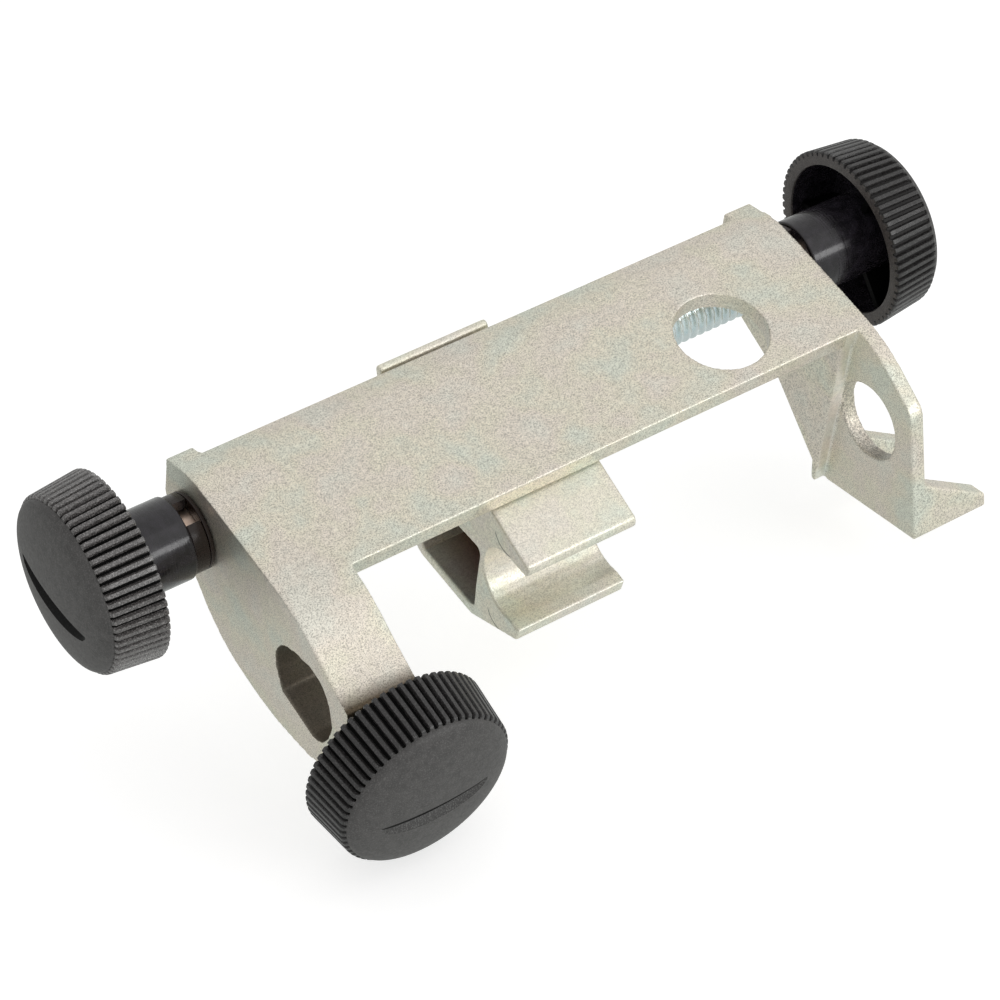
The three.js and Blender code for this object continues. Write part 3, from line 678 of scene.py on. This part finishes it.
def dome_height(r):
    """Height of the cap's surface over the open face, r from the knob's axis."""
    return KNOB["width"] + DOME_BASE + (KNOB["dome"] - DOME_BASE) * math.sqrt(1 - (r / DOME_R) ** 2)


# The cap's recess: half its length along y, the z of its straight wall, its depth, how far its slope runs
# from the wall in the middle and at the ends, and the number of sections.
SCOOP = {"half": 8.9, "wall": -0.6, "depth": 1.0, "reach": 3.3, "end_reach": 0.5, "stations": 29}


def cap_scoop(slope):
    """Cutter for the lens-shaped recess of the cap: a low straight wall, and a slope that rises to an arc."""
    wall, count = SCOOP["wall"], SCOOP["stations"]
    above = KNOB["width"] + KNOB["dome"] + 2
    points = []
    for k in range(count):
        y = SCOOP["half"] * (2 * k / (count - 1) - 1)
        taper = math.sqrt(max(0.0, 1 - (y / SCOOP["half"]) ** 2))
        reach = SCOOP["end_reach"] + (SCOOP["reach"] - SCOOP["end_reach"]) * taper
        low = dome_height(math.hypot(y, wall)) - SCOOP["depth"] * taper
        brim = dome_height(math.hypot(y, wall - reach))
        section = [(wall, above), (wall - 0.04, low), (wall - 0.15 - 2.0 * taper, low - 0.02),
                   (wall - 0.85 * reach, 0.35 * low + 0.65 * brim), (wall - reach, brim + 0.02),
                   (wall - reach - 0.05, above)]
        points += [(height, y, across) for across, height in section]
    corners = len(section)
    faces = [list(range(corners)), list(range(corners * (count - 1), corners * count))]
    for k in range(count - 1):
        a = corners * k
        faces += [(a + i, a + (i + 1) % corners, a + corners + (i + 1) % corners, a + corners + i)
                  for i in range(corners)]
    # The wall and the band below it take the near-black painted shadow; the slope takes the given material.
    paint = [0, 0] + [0, 0, 1, 1, 0, 0] * (count - 1)
    return mesh_object("scoop", points, faces, [RECESS_SHADE, slope], paint)


# A web's half thickness at the hub and at the wall, the radius it starts at, and the x of its open edge.
WEB = {"hub_half": 0.55, "wall_half": 0.5, "start": 5.5, "edge": 2.2}


def knob_web(turn):
    """A thin web from the hub to the cup's wall, sunk a little into the hub, the wall and the floor."""
    hub_half, wall_half, start, end = WEB["hub_half"], WEB["wall_half"], WEB["start"], KNOB["inner"] + 0.5
    outline = [(-hub_half, start), (hub_half, start), (wall_half, end), (-wall_half, end)]
    # The web takes the grooves' near-black painted shade.
    web = prism("web", outline, WEB["edge"], KNOB["floor"] + 0.4, [GROOVE_SHADE])
    web.data.transform(Matrix.Rotation(turn, 4, "X"))
    return web


def knob(name, hub_length, matrix, turn, body, node, rib=RIB_BLACK, groove=GROOVE_SHADE, recess=RECESS_SHADE):
    """A knob with its hub, webs and cap recess; turn is about its own axis."""
    hub_profile = filleted(tube(-hub_length, KNOB["floor"] + 0.6, HUB_BORE, HUB_R), 0.35)
    hub = turned("hub", hub_profile, [GLOSS], segments=128)
    piece = cup_shell(rib, groove)
    piece.name = name
    boolean(piece, [cap_scoop(recess)], "DIFFERENCE")
    webs = [knob_web(math.pi / 6 + i * TAU / 3) for i in range(3)]
    boolean(piece, [hub, *webs], "UNION")
    place_mm(piece, matrix @ Matrix.Rotation(turn, 4, "X"))
    return keep(piece, body, "knob_black", node)


KNOB_RIGHT_LOW, KNOB_RIGHT_HIGH = box_mm("knob_right")
SPINDLE_FACE = KNOB_RIGHT_HIGH[0] - KNOB["width"] - KNOB["dome"]
SPINDLE_HUB = SPINDLE_FACE - KNOB_RIGHT_LOW[0]
# The clamp knob's open face along the clamp axis, and the length of its hub past that face.
CLAMP_FACE = 15.4
CLAMP_HUB = 0.9
RECESS_TILT = math.radians(18)

knob("knob_right_moulded", SPINDLE_HUB, along_screw(SPINDLE_FACE), 0.0, "spindle", "knob_right",
     groove=GROOVE_SHADE_SOFT)
knob("knob_left_moulded", SPINDLE_HUB, along_screw(SPINDLE_FACE, True), -RECESS_TILT, "spindle", "knob_left",
     rib=RIB_LIT)
knob("clamp_knob_moulded", CLAMP_HUB, along_clamp() @ Matrix.Translation((CLAMP_FACE, 0, 0)), 0.0,
     "clamp_handle", "clamp_knob", recess=RECESS_SLOPE_SHADE)


# ------------------------------------------------------------------ threads

def rolled(phase):
    """Rolled thread profile: 0 at the root, 1 on the crest, both rounded."""
    flat = 0.12
    t = min(max((abs(phase - 0.5) * 2 - flat) / (1 - 2 * flat), 0.0), 1.0)
    return 1 - t * t * (3 - 2 * t)


def threaded(name, crest, root, pitch, x0, x1, ends, material, end_material):
    """A right-hand thread from x0 to x1 between two plain ends, each a list of (x, r) points."""
    segments = 64
    per_pitch = 14
    samples = 512
    run_out = 0.7 * pitch
    count = int(round((x1 - x0) / pitch * per_pitch))
    xs = x0 + (x1 - x0) * np.arange(count + 1) / count
    table = np.array([rolled(i / samples) for i in range(samples + 1)])
    angles = np.arange(segments) / segments * TAU
    points, rows = [], []

    def ring(x, radii):
        rows.append(list(range(len(points), len(points) + segments)))
        points.extend(zip([x] * segments, radii * np.cos(angles), radii * np.sin(angles)))

    for x, r in ends[0]:
        ring(x, np.full(segments, r))
    for x in xs:
        phase = (x / pitch - angles / TAU) % 1.0
        fade = min(1.0, (x - x0) / run_out, (x1 - x) / run_out)
        ring(x, root + (crest - root) * fade * np.interp(phase * samples, np.arange(samples + 1), table))
    for x, r in ends[1]:
        ring(x, np.full(segments, r))
    faces, paint = [list(rows[0]), list(rows[-1])], [1, 1]
    for i, (a, b) in enumerate(zip(rows, rows[1:])):
        faces += [(a[k], a[(k + 1) % segments], b[(k + 1) % segments], b[k]) for k in range(segments)]
        threads = len(ends[0]) <= i < len(rows) - len(ends[1])
        paint += [0 if threads else 1] * segments
    return mesh_object(name, points, faces, [material, end_material], paint)


# The lead screw: radii and pitch of its thread, the x where the thread ends, and the radius of the journals.
THREAD = {"crest": 4.65, "root": 3.8, "pitch": 1.5, "end": 46.4, "journal": 3.6}
SCREW_END = box_mm("lead_screw")[1][0]


def journal(sign):
    """Plain end of the lead screw from the thread out, with its chamfer."""
    near = THREAD["end"] + 0.1
    out = [(near, THREAD["root"]), (near + 0.1, THREAD["journal"]),
           (SCREW_END - 0.4, THREAD["journal"]), (SCREW_END, THREAD["journal"] - 0.4)]
    return [(sign * x, r) for x, r in (out if sign > 0 else reversed(out))]


screw = threaded("lead_screw_rolled", THREAD["crest"], THREAD["root"], THREAD["pitch"],
                 -THREAD["end"], THREAD["end"], (journal(-1), journal(1)), STEEL, JOURNAL)
keep(place_mm(screw, along_screw()), "spindle", "steel", "lead_screw")

# The clamp's stud: the same for its thread, and where it starts and ends along the clamp axis.
STUD = {"crest": 3.9, "root": 3.2, "pitch": 1.25, "start": 10.5, "end": 22.6, "chamfer": 0.6}


def clamp_screw():
    """The clamp's stud, threaded from end to end between two chamfers."""
    start, end, root, chamfer = (STUD[k] for k in ("start", "end", "root", "chamfer"))
    ends = ([(start, root - chamfer), (start + 0.5, root)], [(end - 0.5, root), (end, root - chamfer)])
    stud = threaded("clamp_screw_rolled", STUD["crest"], root, STUD["pitch"],
                    start + chamfer, end - chamfer, ends, STEEL, STEEL)
    keep(place_mm(stud, along_clamp()), "clamp_handle", "steel", "clamp_screw")


clamp_screw()


# ------------------------------------------------------------------ turned small pieces

def both_ends(name, profile, material, slot, body, node, fillet=0.2, cut=None):
    """The same turned piece at both ends of the lead screw."""
    for side, flip in (("right", False), ("left", True)):
        piece = turned(f"{name}_{side}_turned", filleted(profile, fillet), [material], segments=96)
        if cut is not None:
            boolean(piece, [cut(flip)], "DIFFERENCE")
        place_mm(piece, along_screw(0, flip))
        keep(piece, body, slot, f"{node}_{side}")


# How far the body reaches past the outer face of the right cheek.
FIN_REACH = 11.7
CHEEK_FACE = BODY_RIGHT - FIN_REACH
# The bushing: its depth in the cheek, its radius there, and the gap under its flange.
BUSHING = {"depth": 4.9, "r": 4.8, "gap": 0.3}
# What the bushing's flange and the retaining clip share, and the clip's mouth.
COLLAR = {"r": 6.1, "bore": 3.9, "flange": 0.6, "mouth": 3.4, "flare": 0.5, "lean": math.radians(25)}

BUSHING_AT = CHEEK_FACE - BUSHING["depth"]
FLANGE_AT = CHEEK_FACE + BUSHING["gap"]
FLANGE_END = FLANGE_AT + COLLAR["flange"]
both_ends("bushing", [
    (BUSHING_AT, COLLAR["bore"]), (BUSHING_AT, BUSHING["r"]), (FLANGE_AT, BUSHING["r"]),
    (FLANGE_AT, COLLAR["r"]), (FLANGE_END, COLLAR["r"]), (FLANGE_END, COLLAR["bore"]),
], BEARING_BLACK, "bearing_black", "body", "bushing", 0.15)


def clip_mouth(flip):
    """Cutter for the clip's mouth, which looks up and a little forward on both sides."""
    half, flare = COLLAR["mouth"] / 2, COLLAR["flare"]
    lean = -COLLAR["lean"] if flip else COLLAR["lean"]
    reach, x0, x1 = 8, 50, 60
    outline = [(-half, 0), (half, 0), (half + flare, reach), (-half - flare, reach)]
    cutter = prism("mouth", outline, x0, x1, [GLOSS])
    cutter.data.transform(Matrix.Rotation(lean, 4, "X"))
    return cutter


CLIP_AT = FLANGE_END + 0.1
CLIP_END = KNOB_RIGHT_LOW[0] - 0.05
both_ends("retaining_clip", tube(CLIP_AT, CLIP_END, COLLAR["bore"], COLLAR["r"]),
          BEARING_BLACK, "bearing_black", "spindle", "retaining_clip", 0.2, clip_mouth)

# Radii of the brass inserts in the two spindle knobs.
INSERT = {"bore": 3.9, "r": 4.9}
INSERT_LOW, INSERT_HIGH = box_mm("insert_right")
both_ends("insert", tube(INSERT_LOW[0], INSERT_HIGH[0], INSERT["bore"], INSERT["r"]),
          BRASS, "brass", "spindle", "insert")

PIN_R = 1.0


def cross_pins():
    """Roll pins across the hubs, with rounded ends."""
    for side in ("right", "left"):
        low, high = box_mm(f"pin_{side}")
        half = (high[2] - low[2]) / 2
        pin = turned(f"pin_{side}_turned", filleted(tube(-half, half, 0, PIN_R), 0.3), [STEEL], segments=40)
        centre = (low + high) / 2
        place_mm(pin, Matrix.Translation(centre) @ Matrix.Rotation(math.pi / 2, 4, "Y"))
        keep(pin, "spindle", "steel", f"pin_{side}")


cross_pins()


def brass_ring(name, x0, x1, bore, r, fillet, matrix, body, node):
    """A turned brass ring or disc on one of the two screws."""
    piece = turned(name, filleted(tube(x0, x1, bore, r), fillet), [BRASS])
    keep(place_mm(piece, matrix), body, "brass", node)


NUT_LOW, NUT_HIGH = box_mm("feed_nut")
# Radii of the turned brass pieces, and their places along the clamp axis.
NUT = {"bore": 4.95, "r": 5.7}
PAD = {"start": 8.3, "end": 10.2, "r": 3.6}
STUD_INSERT = {"start": 16.9, "end": 21.3, "bore": 4.1, "r": 5.2}

brass_ring("feed_nut_turned", NUT_LOW[0], NUT_HIGH[0], NUT["bore"], NUT["r"], 0.2,
           along_screw(), "carriage", "feed_nut")
brass_ring("clamp_pad_turned", PAD["start"], PAD["end"], 0, PAD["r"], 0.45,
           along_clamp(), "clamp_foot", "clamp_pad")
brass_ring("clamp_insert_turned", STUD_INSERT["start"], STUD_INSERT["end"], STUD_INSERT["bore"],
           STUD_INSERT["r"], 0.2, along_clamp(), "clamp_handle", "clamp_insert")


# ------------------------------------------------------------------ diamond dresser

# The shank: its radius, the chamfer behind, the length of the cone and its radius at the tip.
SHANK = {"r": 2.5, "chamfer": 0.4, "cone": 2.6, "tip_r": 1.1}
CRYSTAL_R = 0.82
# How far the crystal's corners are worn in, as a share of its radius.
CRYSTAL_WEAR = 0.14
# The set screw: its radius, and the socket's half width across flats and depth.
GRUB = {"r": 2.1, "socket": 1.25, "depth": 2.2}
SHANK_LOW, SHANK_HIGH = box_mm("diamond_shank")
SHANK_X = (SHANK_LOW[0] + SHANK_HIGH[0]) / 2
SHANK_Z = (SHANK_LOW[2] + SHANK_HIGH[2]) / 2


def along_dresser():
    """Local +X onto +Y at the dresser's height."""
    return Matrix.Translation((SHANK_X, 0, SHANK_Z)) @ Matrix.Rotation(math.pi / 2, 4, "Z")


def shank():
    """Round shank of the dresser, chamfered behind and tapered towards the diamond."""
    start, end, r, chamfer = SHANK_LOW[1], SHANK_HIGH[1], SHANK["r"], SHANK["chamfer"]
    profile = [(start, 0), (start, r - chamfer), (start + chamfer, r),
               (end - SHANK["cone"], r), (end, SHANK["tip_r"]), (end, 0)]
    piece = turned("diamond_shank_turned", filleted(profile, 0.15), [STEEL], segments=96)
    keep(place_mm(piece, along_dresser()), "carriage", "steel", "diamond_shank")


def crystal():
    """Rough crystal just past the end of the shank: an icosahedron with its corners worn in."""
    low, high = box_mm("diamond_tip")
    middle = (low + high) / 2
    sheet = bmesh.new()
    bmesh.ops.create_icosphere(sheet, subdivisions=1, radius=1.0)
    draw = np.random.default_rng(7)
    for vertex in sheet.verts:
        vertex.co *= (1 - CRYSTAL_WEAR) + CRYSTAL_WEAR * draw.random()
        x, y, z = vertex.co
        vertex.co = Vector((x * CRYSTAL_R, y * (high[1] - low[1]) / 2, z * CRYSTAL_R))
    mesh = bpy.data.meshes.new("diamond_tip_crystal")
    sheet.to_mesh(mesh)
    sheet.free()
    mesh.materials.append(DIAMOND)
    mesh.transform(Matrix.Scale(MM, 4))
    mesh.transform(Matrix.Translation(Vector(middle) * MM))
    piece = bpy.data.objects.new("diamond_tip_crystal", mesh)
    bpy.context.scene.collection.objects.link(piece)
    keep(piece, "carriage", "diamond", "diamond_tip")


def grub_screw():
    """Set screw with a hexagon socket that holds the shank from below."""
    low, high = box_mm("grub_screw")
    profile = filleted(tube(low[2], high[2], 0, GRUB["r"]), 0.3)
    piece = turned("grub_screw_turned", profile, [STEEL], segments=64)
    corner = GRUB["socket"] / math.cos(math.pi / 6)
    socket = [(corner * math.cos(i * TAU / 6), corner * math.sin(i * TAU / 6)) for i in range(6)]
    boolean(piece, [prism("socket", socket, low[2] - 1, low[2] + GRUB["depth"], [STEEL])], "DIFFERENCE")
    centre = (low + high) / 2
    upright = Matrix.Translation((centre[0], centre[1], 0)) @ Matrix.Rotation(-math.pi / 2, 4, "Y")
    keep(place_mm(piece, upright), "carriage", "steel", "grub_screw")


shank()
crystal()
grub_screw()


# ------------------------------------------------------------------ studio

# Half the floor's width, and its distance below the lowest point of the CAD, in metres.
FLOOR_HALF = 6.0
FLOOR_GAP = 0.002


def stage():
    """Pale floor just under the lowest point."""
    size, z = FLOOR_HALF, CAD_BOX[0][2] - FLOOR_GAP
    mesh = bpy.data.meshes.new("floor")
    corners = [(-size, -size, z), (size, -size, z), (size, size, z), (-size, size, z)]
    mesh.from_pydata(corners, [], [(0, 1, 2, 3)])
    floor = bpy.data.objects.new("floor", mesh)
    bpy.context.scene.collection.objects.link(floor)
    shader = Shader("studio_floor", Roughness=0.9, Specular_IOR_Level=0.1,
                    Emission_Color=(*WHITE, 1.0), Emission_Strength=0.61)
    tone = shader.ramp(shader.noise(60.0, 2.0), [(0.3, 0.59), (0.7, 0.61)])
    floor.data.materials.append(shader.done(tone))
    floor.visible_glossy = False


def area_light(name, place, size, power):
    """White softbox at place, in metres, that looks at the middle of the tool."""
    data = bpy.data.lights.new(name, "AREA")
    data.shape = "RECTANGLE"
    data.size, data.size_y = size
    data.energy = power
    lamp = bpy.data.objects.new(name, data)
    lamp.location = place
    lamp.rotation_euler = (-Vector(place)).to_track_quat("-Z", "Y").to_euler()
    bpy.context.scene.collection.objects.link(lamp)


def sky_gradient(world, level, slope):
    """Soft surroundings, warm white above and faintly green below.

    level is the brightness at the middle, and slope is how it changes along X, Y and Z."""
    tree = world.node_tree
    place = tree.nodes.new("ShaderNodeTexCoord").outputs["Generated"]

    def along(direction, offset):
        dot = tree.nodes.new("ShaderNodeVectorMath")
        dot.operation = "DOT_PRODUCT"
        dot.inputs[1].default_value = direction
        total = tree.nodes.new("ShaderNodeMath")
        total.inputs[1].default_value = offset
        tree.links.new(place, dot.inputs[0])
        tree.links.new(dot.outputs["Value"], total.inputs[0])
        return total.outputs["Value"]

    ramp = tree.nodes.new("ShaderNodeValToRGB")
    ramp.color_ramp.elements[0].color = (0.965, 1.0, 0.965, 1.0)
    ramp.color_ramp.elements[1].color = (1.0, 0.993, 0.985, 1.0)
    tree.links.new(along((0.0, 0.0, 0.6), 0.5), ramp.inputs["Fac"])
    background = tree.nodes["Background"]
    tree.links.new(ramp.outputs["Color"], background.inputs["Color"])
    tree.links.new(along(slope, level), background.inputs["Strength"])


def studio():
    """Soft surroundings and two softboxes."""
    world = bpy.data.worlds.new("studio")
    world.use_nodes = True
    sky_gradient(world, 0.73, (0.12, -0.05, 0.09))
    bpy.context.scene.world = world
    area_light("front_top", (0.38, -0.50, 0.68), (0.7, 0.5), 0.3)
    area_light("front_right", (0.34, -0.69, 0.26), (0.5, 0.2), 1.5)
    bpy.context.scene.view_settings.view_transform = "Standard"


# The photograph's viewing angle: places in metres, focal length in millimetres.
CAMERA = {"place": (-0.24507, -0.38415, 0.32959), "target": (-0.010597, 0.010, 0.008239), "lens": 136.84,
          "roll": math.radians(-6.0)}


def camera():
    """The scene's camera, at the photograph's viewing angle."""
    data = bpy.data.cameras.new("camera")
    data.lens = CAMERA["lens"]
    data.sensor_width = 36.0
    data.clip_start = 0.01
    data.clip_end = 20.0
    eye = bpy.data.objects.new("camera", data)
    look = (Vector(CAMERA["target"]) - Vector(CAMERA["place"])).to_track_quat("-Z", "Y").to_matrix().to_4x4()
    eye.matrix_world = Matrix.Translation(CAMERA["place"]) @ look @ Matrix.Rotation(CAMERA["roll"], 4, "Z")
    bpy.context.scene.collection.objects.link(eye)
    bpy.context.scene.camera = eye


stage()
studio()
camera()
